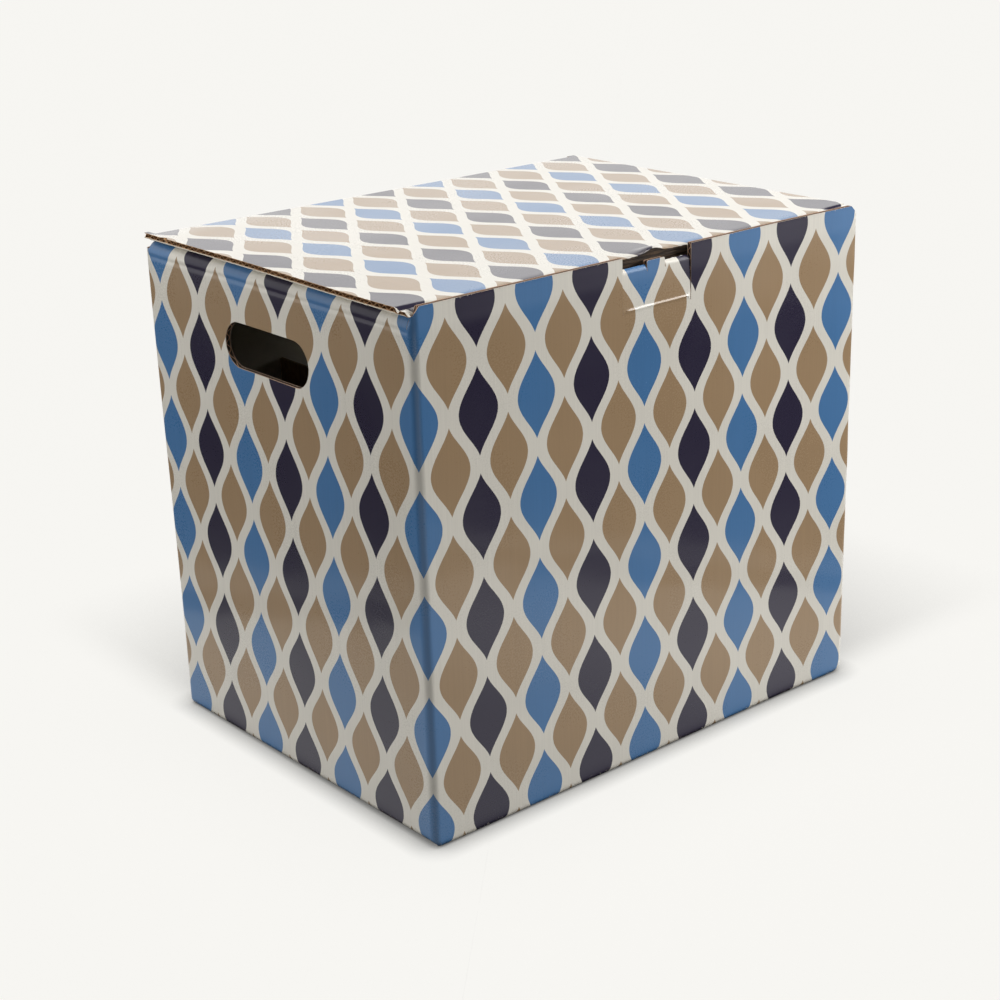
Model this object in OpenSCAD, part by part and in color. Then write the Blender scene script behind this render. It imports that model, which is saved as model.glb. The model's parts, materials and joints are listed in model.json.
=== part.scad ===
// Gift carton for twelve bottles: one folded blank of corrugated board, and a lid on the back fold.
// The lid is a node of its own because it swings; five card dividers stand loose in the carton.
// X runs along the front wall, Y from front to back, Z up. The origin is the middle of the base.

/* [Carton] */
// Outer length, from hand-hole wall to hand-hole wall
box_l = 350; // [320:1:380]
// Outer width, from front wall to back wall
box_w = 265; // [240:1:290]
// Height of the front wall's cut top edge
box_h = 319; // [290:1:350]
// Thickness of the corrugated board
board_t = 3.2; // [2.8:0.1:3.6]
// Outer radius of the upright corner folds
corner_r = 4.5; // [4.2:0.1:7]
// Length cut off the front wall's top corners at 45 degrees
top_cut = 5; // [3:0.5:9]
// Width of the glued seam strip inside the back wall
seam_w = 35; // [20:1:45]
// Distance of the seam strip's ends from the base and from the top
seam_inset = 24; // [16:1:40]

/* [Base flaps] */
// Outer radius of the folds round the base
base_r = 4; // [3.8:0.1:4.2]
// Gap between the two long base flaps
base_gap = 0.8; // [0.4:0.1:2]
// Length of the side base flaps before they rise over the long ones
base_root = 22; // [16:1:30]
// Length over which the side base flaps rise by one board
base_rise = 12; // [8:1:16]
// Full length of the side base flaps
base_reach = 100; // [80:1:110]

/* [Dust flaps] */
// Outer radius of the soft roll on top of the side walls
roll_r = 8; // [6:0.5:10]
// Reach of the dust flaps from the outside of the side walls
dust_reach = 68; // [50:1:72]
// Corner cut off the dust flaps
dust_corner = 9; // [4:1:14]

/* [Hand holes] */
// Length of a hand hole
hole_w = 84; // [70:1:100]
// Height of a hand hole, which is also the diameter of its ends
hole_h = 28; // [20:1:34]
// Height of a hand hole's middle
hole_z = 266; // [240:1:272]
// Distance of a hand hole's middle behind the middle of its wall
hole_y = 7; // [-10:1:10]

/* [Lid] */
// Overhang of the lid past each side wall
lid_over = 2.2; // [0.6:0.2:4]
// Height of the front wall's edge above the lid
lid_drop = 1.2; // [0.5:0.1:2]
// Play between the lid and the dust flaps it rests on
lid_play = 0.3; // [0.2:0.1:0.6]
// Outer radius of the fold above the tuck flap
tuck_r = 4; // [3.8:0.1:5]
// Play between the tuck flap and the front wall
tuck_play = 0.6; // [0.4:0.1:1.2]
// Height of the tuck flap below its fold
tuck_len = 46; // [40:1:54]
// Lean of the tuck flap into the carton, in degrees
tuck_lean = 12; // [11:0.5:15]
// Corner cut off the tuck flap
tuck_corner = 16; // [8:1:24]
// Outer radius of the fold between the back wall and the lid
hinge_r = 4; // [3.8:0.1:5]
// Angle left open on each side of the cut through the back fold, in degrees
hinge_open = 1.5; // [1:0.5:3]

/* [Lock tab] */
// Width of the lock tab cut from the front wall
tab_w = 54; // [45:1:65]
// Height of the front wall's top edge above the lock tab's crease
tab_h = 29; // [24:1:32]
// Distance of the lock tab to the right of the middle
tab_x = 2; // [-5:0.5:5]
// Lean of the lock tab into the carton, in degrees
tab_lean = 4.5; // [3:0.5:6]
// Width of the slits beside the lock tab and beside its tongue
tab_slit = 0.8; // [0.5:0.1:1.5]
// Length of the slits below the crease
tab_slit_below = 3; // [1:0.5:6]
// Width of the upright tongue in the middle of the lock tab
tongue_w = 14; // [10:1:24]
// Play between the tongue and the lid above it
tongue_play = 0.4; // [0.3:0.1:1]
// Outer radius of the bend at the lock tab's shoulders
shoulder_r = 3.8; // [3.7:0.1:5]
// Bend of the lock tab's shoulders, in degrees
shoulder_bend = 55; // [30:5:70]
// Depth of the tuck flap's slot for the lock tab, from the flap's face
slot_d = 6; // [5:0.5:8]
// Length of the tuck flap's slot, from the top of the lid
slot_len = 21; // [20:1:24]
// Room beside the lock tab in the slot
slot_room = 3.5; // [2:0.5:6]

/* [Corrugation] */
// Pitch of the flutes
flute_pitch = 6.5; // [5.5:0.1:8]
// Thickness of each liner
liner_t = 0.35; // [0.25:0.05:0.5]
// Thickness of the fluted paper
medium_t = 0.35; // [0.25:0.05:0.5]

/* [Dividers] */
// Thickness of the divider card
card_t = 2; // [1.5:0.1:3]
// Height of the dividers
card_h = 215; // [180:1:225]
// Play between the ends of a divider and the walls
card_play = 0.8; // [0.5:0.1:2]
// Play across and along the slots where dividers cross
card_slot_play = 0.4; // [0.2:0.1:0.8]

/* [Hidden] */
$fn = 48;
// Overlap that joins two solids, and the overrun of a cut
eps = 0.5;
cut = 2;
// Insides of the carton
in_l = box_l - 2 * board_t;
in_w = box_w - 2 * board_t;
floor_z = 2 * board_t;
// Heights at the top of the carton
lid_top = box_h - lid_drop;
lid_under = lid_top - board_t;
dust_top = lid_under - lid_play;
corner_top = min(box_h - top_cut, dust_top);
side_top = dust_top - roll_r;
// Play between the tuck flap and the dust flaps, and between the dust flaps and the back wall
dust_play = 1.5;
// Lid and tuck flap
lid_l = box_l + 2 * lid_over;
tuck_y = -box_w / 2 + board_t + tuck_play;
fold_y = tuck_y + tuck_r;
fold_z = lid_top - tuck_r;
tuck_half = box_l / 2 - roll_r - 2 * dust_play;
tuck_in = tuck_len * tan(tuck_lean);
hinge_y = box_w / 2 - hinge_r;
hinge_z = lid_top - hinge_r;
// The tuck flap's inner face at the level of the dust flaps, from the front wall's outside
dust_front = board_t + tuck_play + board_t / cos(tuck_lean)
             + (lid_top - dust_top + board_t) * tan(tuck_lean) + dust_play;
// Lock tab: heights of its tongue and of the start of its shoulders' bend, from the crease
tongue_h = lid_under - (box_h - tab_h) - tongue_play;
shoulder_h = tongue_h - shoulder_r * sin(shoulder_bend) - tongue_play / 2;
// Flutes: clear half-height between the liners, and amplitude of the fluted paper
flute_h = board_t / 2 - liner_t;
flute_a = flute_h - medium_t / 2;
flute_half = 0.42;
// Room between the rise of a side base flap and the end of a long one
base_play = 2;
// Dividers: long ones at thirds of the width, cross ones at quarters of the length
long_y = in_w / 6;
cross_x = in_l / 4;
card_mid = floor_z + card_h / 2;
card_slot = card_t + card_slot_play;

// A rectangle with rounded corners.
module round_rect(l, w, r) {
    square([l - 2 * r, w], center = true);
    square([l, w - 2 * r], center = true);
    for (sx = [-1, 1], sy = [-1, 1])
        translate([sx * (l / 2 - r), sy * (w / 2 - r)])
            circle(r = r);
}

// The section of a fold: a band of board bent round the origin.
module fold_arc(r, start, sweep) {
    intersection() {
        difference() {
            circle(r = r);
            circle(r = r - board_t);
        }
        polygon(concat([[0, 0]], [for (k = [0:2])
            2 * r * [cos(start + sweep * k / 2), sin(start + sweep * k / 2)]]));
    }
}

// A section drawn in the YZ plane, run along X.
module along_x(length) {
    rotate([90, 0, 90])
        linear_extrude(height = length, center = true)
            children();
}

// A section drawn in the XZ plane, run along Y.
module along_y(length) {
    rotate([90, 0, 0])
        linear_extrude(height = length, center = true)
            children();
}

// The loop of four walls, between two heights.
module wall_loop(z0, z1) {
    translate([0, 0, z0])
        linear_extrude(height = z1 - z0)
            difference() {
                round_rect(box_l, box_w, corner_r);
                round_rect(in_l, in_w, corner_r - board_t);
            }
}

// One long base flap with its fold, on the front.
module long_base_flap() {
    wide = box_l / 2 - corner_r;
    narrow = box_l / 2 - base_root - base_rise - base_play;
    back = -box_w / 2 + base_r;
    translate([0, back, base_r])
        along_x(box_l - 2 * corner_r)
            fold_arc(base_r, 180, 90);
    linear_extrude(height = board_t)
        polygon([
            [-wide, back],
            [wide, back],
            [narrow, back + wide - narrow],
            [narrow, -base_gap / 2],
            [-narrow, -base_gap / 2],
            [-narrow, back + wide - narrow]
        ]);
}

// One side base flap with its fold, on the left: it rises by one board over the long flaps.
module side_base_flap() {
    root = -box_l / 2 + base_r;
    rise = -box_l / 2 + base_root;
    top = rise + base_rise;
    end = -box_l / 2 + base_reach;
    wide = box_w / 2 - corner_r;
    narrow = wide - (top - root);
    translate([root, 0, base_r])
        along_y(box_w - 2 * corner_r)
            fold_arc(base_r, 180, 90);
    intersection() {
        along_y(box_w)
            polygon([
                [root, 0],
                [rise, 0],
                [top, board_t],
                [end, board_t],
                [end, 2 * board_t],
                [top, 2 * board_t],
                [rise, board_t],
                [root, board_t]
            ]);
        linear_extrude(height = 3 * board_t)
            polygon([
                [root, -wide],
                [top, -narrow],
                [end, -narrow],
                [end, narrow],
                [top, narrow],
                [root, wide]
            ]);
    }
}

// The rounded end of an upright fold at one corner of the base.
module base_corner() {
    translate([box_l / 2 - corner_r, box_w / 2 - corner_r, 0])
        rotate_extrude(angle = 90)
            translate([corner_r - base_r, base_r])
                fold_arc(base_r, 270, 90);
}

module base() {
    for (sy = [0, 1])
        mirror([0, sy, 0])
            long_base_flap();
    for (sx = [0, 1])
        mirror([sx, 0, 0])
            side_base_flap();
    for (sx = [0, 1], sy = [0, 1])
        mirror([sx, 0, 0])
            mirror([0, sy, 0])
                base_corner();
}

// The walls' upper ends: corner folds, front wall with its cut corners, back wall up to the lid's fold.
module wall_tops() {
    intersection() {
        wall_loop(side_top, corner_top);
        for (sy = [-1, 1])
            translate([0, sy * (box_w - corner_r) / 2, box_h / 2])
                cube([box_l, corner_r, 2 * box_h], center = true);
    }
    intersection() {
        wall_loop(side_top, box_h);
        translate([0, (board_t - box_w) / 2, 0])
            along_y(board_t)
                polygon([
                    [-box_l / 2, side_top - cut],
                    [box_l / 2, side_top - cut],
                    [box_l / 2, box_h - top_cut],
                    [box_l / 2 - top_cut, box_h],
                    [top_cut - box_l / 2, box_h],
                    [-box_l / 2, box_h - top_cut]
                ]);
    }
    translate([0, (box_w - board_t) / 2, (side_top + hinge_z) / 2])
        cube([box_l - 2 * corner_r, board_t, hinge_z - side_top], center = true);
    translate([0, hinge_y, hinge_z])
        along_x(box_l - 2 * corner_r)
            fold_arc(hinge_r, 0, 45 - hinge_open);
}

// One side wall's soft roll and the dust flap that follows it, on the left.
module dust_flap() {
    root = roll_r - box_l / 2;
    end = dust_reach - box_l / 2;
    front = dust_front - box_w / 2;
    back = box_w / 2 - board_t - dust_play;
    translate([root, 0, side_top])
        along_y(box_w - 2 * corner_r)
            fold_arc(roll_r, 90, 90);
    translate([0, 0, dust_top - board_t])
        linear_extrude(height = board_t)
            polygon([
                [root, front],
                [end - dust_corner, front],
                [end, front + dust_corner],
                [end, back - dust_corner],
                [end - dust_corner, back],
                [root, back]
            ]);
}

// The opening in the front wall for the lock tab, with a slit down each side.
module tab_opening() {
    wide = tab_w + 2 * tab_slit;
    below_w = 0.8 * tab_slit;
    crease = box_h - tab_h;
    translate([tab_x - wide / 2, -box_w / 2 - cut, crease])
        cube([wide, board_t + 2 * cut, tab_h + cut]);
    for (sx = [-1, 1])
        translate([tab_x + sx * (wide - below_w) / 2, (board_t - box_w) / 2, crease])
            cube([below_w, board_t + 2 * cut, 2 * tab_slit_below], center = true);
}

// The lock tab, bent in at its crease: an upright tongue, and shoulders that roll in under the lid.
module lock_tab() {
    shoulder_w = (tab_w - tongue_w) / 2 - tab_slit;
    translate([tab_x, -box_w / 2, box_h - tab_h])
        rotate([-tab_lean, 0, 0]) {
            translate([-tab_w / 2, 0, 0])
                cube([tab_w, board_t, shoulder_h]);
            translate([-tongue_w / 2, 0, 0])
                cube([tongue_w, board_t, tongue_h]);
            for (sx = [-1, 1])
                translate([sx * (tab_w - shoulder_w) / 2, shoulder_r, shoulder_h])
                    along_x(shoulder_w)
                        fold_arc(shoulder_r, 180 - shoulder_bend, shoulder_bend);
        }
}

// Both hand holes, as one cut through the side walls.
module hand_holes() {
    translate([0, hole_y, hole_z])
        along_x(box_l + 2 * cut) {
            square([hole_w - hole_h, hole_h], center = true);
            for (s = [-1, 1])
                translate([s * (hole_w - hole_h) / 2, 0])
                    circle(d = hole_h);
        }
}

// The glued strip that closes the loop of walls, inside the back wall at the left.
module seam_strip() {
    translate([-in_l / 2 - eps, in_w / 2 - board_t, seam_inset])
        cube([seam_w + eps, board_t + eps, side_top - 2 * seam_inset]);
}

// Folded body of the carton: walls, base flaps, dust flaps and lock tab, from one blank.
module carton_body() {
    color([0.80, 0.78, 0.73]) {
        difference() {
            union() {
                wall_loop(base_r, side_top);
                wall_tops();
            }
            hand_holes();
            tab_opening();
        }
        base();
        lock_tab();
        seam_strip();
        for (sx = [0, 1])
            mirror([sx, 0, 0])
                dust_flap();
    }
}

// The hollows of a run of flutes along X, centred on the board's middle.
module flutes(length) {
    count = floor(length / flute_pitch - 0.5);
    hollow = concat([for (k = [-2:2])
        let(s = flute_half * k / 2)
        [s * flute_pitch, medium_t / 2 - flute_a * cos(360 * s)]],
        [[flute_half * flute_pitch, flute_h], [-flute_half * flute_pitch, flute_h]]);
    for (k = [0:count - 1])
        translate([(k + 0.5) * flute_pitch, 0]) {
            polygon(hollow);
            translate([flute_pitch / 2, 0])
                mirror([0, 1])
                    polygon(hollow);
        }
}

// The lid's section: panel, half of the back fold, front fold and tuck flap, with open flutes.
module lid_section() {
    difference() {
        union() {
            translate([fold_y, lid_under])
                square([hinge_y - fold_y, board_t]);
            translate([hinge_y, hinge_z])
                fold_arc(hinge_r, 45 + hinge_open, 45 - hinge_open);
            translate([fold_y, fold_z])
                fold_arc(tuck_r, 90, 90);
            polygon([
                [tuck_y, fold_z],
                [tuck_y + tuck_in, fold_z - tuck_len],
                [tuck_y + board_t + tuck_in, fold_z - tuck_len],
                [tuck_y + board_t, fold_z]
            ]);
        }
        translate([fold_y, lid_under + board_t / 2])
            flutes(hinge_y - fold_y);
        translate([fold_y + board_t / 2 - tuck_r, fold_z])
            rotate(tuck_lean - 90)
                flutes(tuck_len);
    }
}

// Lid panel and tuck flap, from the same blank as the body.
module lid() {
    below = tuck_len + tuck_r + cut;
    slot_w = tab_w + 2 * slot_room;
    corner_cut = tuck_corner * sqrt(2);
    color([0.93, 0.91, 0.87])
        difference() {
            along_x(lid_l)
                lid_section();
            for (sx = [0, 1])
                mirror([sx, 0, 0]) {
                    translate([tuck_half, tuck_y - cut, lid_under - below])
                        cube([lid_l, tuck_len, below]);
                    translate([tuck_half, tuck_y + tuck_in, fold_z - tuck_len])
                        rotate([0, 45, 0])
                            cube([corner_cut, tuck_len, corner_cut], center = true);
                }
            translate([tab_x - slot_w / 2, tuck_y - cut, lid_top - slot_len])
                cube([slot_w, slot_d + cut, slot_len - board_t]);
        }
}

// A divider along X, slotted from the top where the cross dividers pass.
module long_divider(y) {
    length = in_l - 2 * card_play;
    color([0.66, 0.51, 0.35])
        difference() {
            translate([-length / 2, y - card_t / 2, floor_z])
                cube([length, card_t, card_h]);
            for (k = [-1:1])
                translate([k * cross_x - card_slot / 2, y - card_t, card_mid - card_slot_play / 2])
                    cube([card_slot, 2 * card_t, card_h]);
        }
}

// A divider along Y, slotted from below where the long dividers pass.
module cross_divider(x) {
    length = in_w - 2 * card_play;
    color([0.66, 0.51, 0.35])
        difference() {
            translate([x - card_t / 2, -length / 2, floor_z])
                cube([card_t, length, card_h]);
            for (s = [-1, 1])
                translate([x - card_t, s * long_y - card_slot / 2, floor_z - card_h / 2])
                    cube([2 * card_t, card_slot, card_h + card_slot_play / 2]);
        }
}

module long_divider_front() {
    long_divider(-long_y);
}

module long_divider_back() {
    long_divider(long_y);
}

module cross_divider_left() {
    cross_divider(-cross_x);
}

module cross_divider_middle() {
    cross_divider(0);
}

module cross_divider_right() {
    cross_divider(cross_x);
}

carton_body();
lid();
long_divider_front();
long_divider_back();
cross_divider_left();
cross_divider_middle();
cross_divider_right();
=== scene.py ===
import json
import math

import bpy
import numpy as np
from mathutils import Matrix, Vector
from mathutils.geometry import delaunay_2d_cdt


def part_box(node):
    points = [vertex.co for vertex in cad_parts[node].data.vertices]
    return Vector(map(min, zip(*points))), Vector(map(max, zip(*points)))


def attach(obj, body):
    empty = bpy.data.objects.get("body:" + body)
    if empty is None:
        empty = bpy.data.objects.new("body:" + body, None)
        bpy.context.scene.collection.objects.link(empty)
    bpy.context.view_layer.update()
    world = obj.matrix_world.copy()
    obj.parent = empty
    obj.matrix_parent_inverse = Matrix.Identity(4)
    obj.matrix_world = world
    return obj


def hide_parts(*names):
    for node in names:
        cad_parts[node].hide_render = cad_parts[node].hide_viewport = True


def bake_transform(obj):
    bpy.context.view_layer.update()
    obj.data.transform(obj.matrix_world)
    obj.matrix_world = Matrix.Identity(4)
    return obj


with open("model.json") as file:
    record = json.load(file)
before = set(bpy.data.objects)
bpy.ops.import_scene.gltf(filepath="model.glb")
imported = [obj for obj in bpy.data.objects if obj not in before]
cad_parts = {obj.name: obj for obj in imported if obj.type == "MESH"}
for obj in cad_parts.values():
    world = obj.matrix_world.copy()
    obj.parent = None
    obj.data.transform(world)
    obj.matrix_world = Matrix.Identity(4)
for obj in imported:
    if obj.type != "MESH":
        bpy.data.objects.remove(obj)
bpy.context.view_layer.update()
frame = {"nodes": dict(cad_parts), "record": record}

MM = 0.001
_, body_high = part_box("carton_body")
lid_low, lid_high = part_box("lid")

# Sizes read from the frame, in millimetres
HALF_L = body_high.x / MM
HALF_W = body_high.y / MM
TOP_Z = body_high.z / MM
LID_HALF = lid_high.x / MM
LID_Z = lid_high.z / MM
FLAP_LOW = lid_low.z / MM
TUCK_Y = lid_low.y / MM
OPENINGS = frame["record"]["physics"]["openings"]
HAND_LOW, HAND_HIGH = next(o["box_m"] for o in OPENINGS if o["name"] == "hand_hole_left")
HOLE_Y = (HAND_LOW[1] + HAND_HIGH[1]) / 2 / MM
HOLE_Z = (HAND_LOW[2] + HAND_HIGH[2]) / 2 / MM
DIVIDERS = [n for n in frame["nodes"] if "divider" in n]

# Sizes of the board and its folds; the lock tab's and the slot's are fitted to the photo
BOARD = 3.2
LINER = 0.35
FLUTE_PITCH = 6.5
CORNER_R = 4.5
BASE_R = 4.0
ROLL_R = 8.0
TUCK_R = 4.0
HINGE_R = 4.0
TOP_CUT = 5.0
HOLE_W, HOLE_H = 84.0, 28.0
SEAM_W, SEAM_INSET = 35.0, 24.0
TAB_X, TAB_HALF, TAB_H, TAB_LEAN = 2.0, 27.0, 31.2, math.radians(2.5)
TONGUE_HALF, TONGUE_TOP = 7.0, 26.4
SHOULDER_R, SHOULDER_BEND, SHOULDER_H = 3.4, math.radians(46), 21.3
TUCK_HALF, TUCK_LEAN, TUCK_CORNER = 164.0, math.radians(12), 16.0
SLOT_ROOM, SLOT_LEN = 3.5, 21.0
DUST_END, DUST_TUCK = 68.0, 9.0
# Small bends that the folded board takes on
SCORE_DEPTH, CREASE_RIDGE = 0.32, 0.34
WARP, RIPPLE = 0.11, 0.05
LEAN_OUT = 2.4
BULGE_X, BULGE_Y = 1.5, 1.2
EDGE_RISE = 1.3
LIP_RISE, LIP_THIN, LIP_DROOP = 2.5, 0.72, 0.5

# Heights and lines that follow
LID_UNDER = LID_Z - BOARD
DUST_TOP = LID_UNDER - 0.3
SIDE_TOP = DUST_TOP - ROLL_R
CREASE = TOP_Z - TAB_H
CORNER_TOP = TOP_Z - TOP_CUT
HINGE_Y, HINGE_Z = HALF_W - HINGE_R, LID_Z - HINGE_R
FOLD_Y, FOLD_Z = TUCK_Y + TUCK_R, LID_Z - TUCK_R
QUARTER = math.pi / 2
SHOULDER_END = SHOULDER_H + SHOULDER_R * SHOULDER_BEND + 0.8
TONGUE_ROOT = CREASE + 20.6


def smooth(x, low, high):
    """Soft step from 0 at low to 1 at high."""
    t = np.clip((x - low) / (high - low), 0.0, 1.0)
    return t * t * (3 - 2 * t)


def hump(x, middle, width):
    """Soft bump of height 1."""
    return np.exp(-(((x - middle) / width) ** 2))


# ---- the round of the walls ----
ARC = CORNER_R * QUARTER
FLAT_L = 2 * (HALF_L - CORNER_R)
FLAT_W = 2 * (HALF_W - CORNER_R)
SEAM_DIP = 4.5
FREE_EDGE = CORNER_R + SEAM_DIP
FRONT_0 = ARC / 2
FRONT_1 = FRONT_0 + FLAT_L
RIGHT_0 = FRONT_1 + ARC
RIGHT_1 = RIGHT_0 + FLAT_W
BACK_0 = RIGHT_1 + ARC
BACK_1 = BACK_0 + 2 * HALF_L - CORNER_R - FREE_EDGE
LEFT_0 = -ARC / 2
LEFT_1 = LEFT_0 - FLAT_W
STRIP_0 = LEFT_1 - ARC
STRIP_1 = STRIP_0 - (SEAM_W - CORNER_R)
IN_X, IN_Y = HALF_L - CORNER_R, HALF_W - CORNER_R
# start, end, then a flat's first point, run and outward side, or an arc's centre and first angle
ROUND = [
    (STRIP_1 - 50, STRIP_0, "flat", (STRIP_0, -IN_X, HALF_W), (-1, 0), (0, 1)),
    (STRIP_0, LEFT_1, "arc", (-IN_X, IN_Y), QUARTER),
    (LEFT_1, LEFT_0, "flat", (LEFT_0, -HALF_L, -IN_Y), (0, -1), (-1, 0)),
    (LEFT_0, FRONT_0, "arc", (-IN_X, -IN_Y), 2 * QUARTER),
    (FRONT_0, FRONT_1, "flat", (FRONT_0, -IN_X, -HALF_W), (1, 0), (0, -1)),
    (FRONT_1, RIGHT_0, "arc", (IN_X, -IN_Y), 3 * QUARTER),
    (RIGHT_0, RIGHT_1, "flat", (RIGHT_0, HALF_L, -IN_Y), (0, 1), (1, 0)),
    (RIGHT_1, BACK_0, "arc", (IN_X, IN_Y), 0.0),
    (BACK_0, BACK_1 + 50, "flat", (BACK_0, IN_X, HALF_W), (-1, 0), (0, 1)),
]


def round_walls(s, off):
    """Point of the wall loop at length s, moved inward by off."""
    x, y = np.zeros_like(s), np.zeros_like(s)
    for start, end, kind, first, *rest in ROUND:
        here = (s >= start) & (s < end)
        if kind == "flat":
            run, out = rest
            x = np.where(here, first[1] + run[0] * (s - first[0]) - out[0] * off, x)
            y = np.where(here, first[2] + run[1] * (s - first[0]) - out[1] * off, y)
        else:
            turn = rest[0] + (s - start) / CORNER_R
            r = np.maximum(CORNER_R - off, 0.05)
            x = np.where(here, first[0] + r * np.cos(turn), x)
            y = np.where(here, first[1] + r * np.sin(turn), y)
    return x, y


def on_left(y):
    return LEFT_0 - (y + IN_Y)


def on_front(x):
    return FRONT_0 + (x + IN_X)


def on_right(y):
    return RIGHT_0 + (y + IN_Y)


def on_back(x):
    return BACK_0 + (IN_X - x)


def base_v(off):
    """Height on the blank of a base flap's line that lies off inside the wall."""
    return BASE_R - BASE_R * QUARTER - (off - BASE_R)


def dust_v(off):
    """Height on the blank of a dust flap's line that lies off inside the wall."""
    return SIDE_TOP + ROLL_R * QUARTER + (off - ROLL_R)


def side_rise(s):
    """The side flaps lie on the long ones, so the side walls end above the floor, most at the front."""
    rise = np.zeros_like(s)
    for back in (-s, s - FRONT_1 - ARC / 2):
        rise = rise + smooth(back, -ARC / 2 - 3, ARC / 2 + 1) * (1 - np.clip(back / (FLAT_W + ARC), 0, 1))
    return BOARD * rise


def board_warp(s, v):
    """Slight unevenness of the walls, which bends what the varnish reflects."""
    waves = WARP * np.sin(s / 31 + 1.7 * np.sin(v / 47)) * np.sin(v / 11 + 0.9 * np.sin(s / 23))
    waves = waves + RIPPLE * np.sin(v / 6.8 + s / 19 + 1.3 * np.sin(s / 41))
    walls = smooth(v, 8, 30) * smooth(SIDE_TOP - v, 6, 24)
    seam = smooth(s, STRIP_0 + 2, STRIP_0 + 40) * smooth(BACK_1 - s, SEAM_W + 2, SEAM_W + 40)
    return waves * walls * seam


def fold_carton(s, v, d):
    """Folds a point of the carton's blank; d is its depth in the board, from the printed side."""
    s, v, d = (np.asarray(a, float) + np.zeros_like(s) for a in (s, v, d))
    side = ((s > LEFT_1 + 0.1) & (s < LEFT_0 - 0.1)) | ((s > RIGHT_0 + 0.1) & (s < RIGHT_1 - 0.1))
    front = (s >= FRONT_0) & (s < FRONT_1)
    off, z = np.zeros_like(s), v.copy()
    in_off, in_z = np.ones_like(s), np.zeros_like(s)
    # base folds and flaps
    below = BASE_R - v
    turn = np.clip(below / BASE_R, 0, QUARTER)
    here = below > 0
    off = np.where(here, BASE_R * (1 - np.cos(turn)) + np.maximum(below - BASE_R * QUARTER, 0), off)
    z = np.where(here, BASE_R * (1 - np.sin(turn)), z)
    in_off = np.where(here, np.cos(turn), in_off)
    in_z = np.where(here, np.sin(turn), in_z)
    inner = np.where(side & here, smooth(off, 22, 34), 0)
    z = z + (BOARD + 0.15) * inner + side_rise(s) * smooth(60 - v, 0, 56) * (1 - inner)
    # rolls and dust flaps on top of the side walls
    above = v - SIDE_TOP
    turn = np.clip(above / ROLL_R, 0, QUARTER)
    here = side & (above > 0)
    off = np.where(here, ROLL_R * (1 - np.cos(turn)) + np.maximum(above - ROLL_R * QUARTER, 0), off)
    z = np.where(here, SIDE_TOP + ROLL_R * np.sin(turn), z)
    in_off = np.where(here, np.cos(turn), in_off)
    in_z = np.where(here, -np.sin(turn), in_z)
    near = np.zeros_like(s)
    for start, away in ((LEFT_0, 1), (LEFT_1, -1), (RIGHT_0, -1), (RIGHT_1, 1)):
        near = np.maximum(near, smooth((s - start) * away, 0.4 * ARC, 0.0) * ((s - start) * away > -0.11))
    near = np.where(side | (above < 0), 0, near)
    off = off + near * ROLL_R * (1 - np.cos(turn))
    z = z - near * (np.maximum(above, 0) - ROLL_R * np.sin(turn))
    crease = side * SCORE_DEPTH * hump(v, SIDE_TOP - 1.0, 1.2)
    off = off + crease + board_warp(s, v)
    # lock tab
    across = s - on_front(TAB_X)
    on_tab = front & (np.abs(across) <= TAB_HALF + 0.02)
    h = v - CREASE
    here = on_tab & (h > 0)
    shoulder = here & (np.abs(across) > TONGUE_HALF + 0.3) & (h > SHOULDER_H)
    straight = np.where(shoulder, SHOULDER_H, h)
    bend = np.where(shoulder, np.clip((h - SHOULDER_H) / SHOULDER_R, 0, SHOULDER_BEND), 0)
    rest = np.where(shoulder, np.maximum(h - SHOULDER_H - SHOULDER_R * SHOULDER_BEND, 0), 0)
    lean = TAB_LEAN + bend
    tab_off = (straight * math.sin(TAB_LEAN) + SHOULDER_R * (math.cos(TAB_LEAN) - np.cos(lean))
               + rest * np.sin(lean))
    tab_z = (CREASE + straight * math.cos(TAB_LEAN) + SHOULDER_R * (np.sin(lean) - math.sin(TAB_LEAN))
             + rest * np.cos(lean))
    off, z = np.where(here, tab_off, off), np.where(here, tab_z, z)
    in_off, in_z = np.where(here, np.cos(lean), in_off), np.where(here, -np.sin(lean), in_z)
    off = off - np.where(on_tab, CREASE_RIDGE * hump(h, 0.2, 0.75), 0)
    # the glued strip dips under the back wall
    off = off + (BOARD + 0.1) * smooth(STRIP_0 - s, 0.2, SEAM_DIP - 0.2)
    x, y = round_walls(s, off + d * in_off)
    # the left back corner leans out a little towards its top
    x = x - LEAN_OUT * smooth(z, 30, 300) * smooth(y, 0, 130) * smooth(-x, 120, 171)
    # the right front corner stands out a little
    far = smooth(x, 110, 168) * smooth(-y, 60, 126)
    x, y = x + BULGE_X * far, y - BULGE_Y * far
    return np.stack([x, y, z + d * in_z], 1)


# ---- the lid ----
TURN = QUARTER + TUCK_LEAN
EAR = FOLD_Y + HALF_W - 0.2
FLAP_V = FOLD_Y - TUCK_R * TURN
FLAP_LEN = (FOLD_Z + TUCK_R * math.cos(TURN) - FLAP_LOW) / math.cos(TUCK_LEAN)
LID_FOLD = HINGE_Z + HINGE_R * QUARTER + HINGE_Y - FOLD_Y + 2.4
SLOT_V0 = FOLD_Y - 1.6
SLOT_V1 = FLAP_V - (FOLD_Z + TUCK_R * math.cos(TURN) - (LID_Z - SLOT_LEN)) / math.cos(TUCK_LEAN)
LIP_X = TAB_X + 3.5


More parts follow.
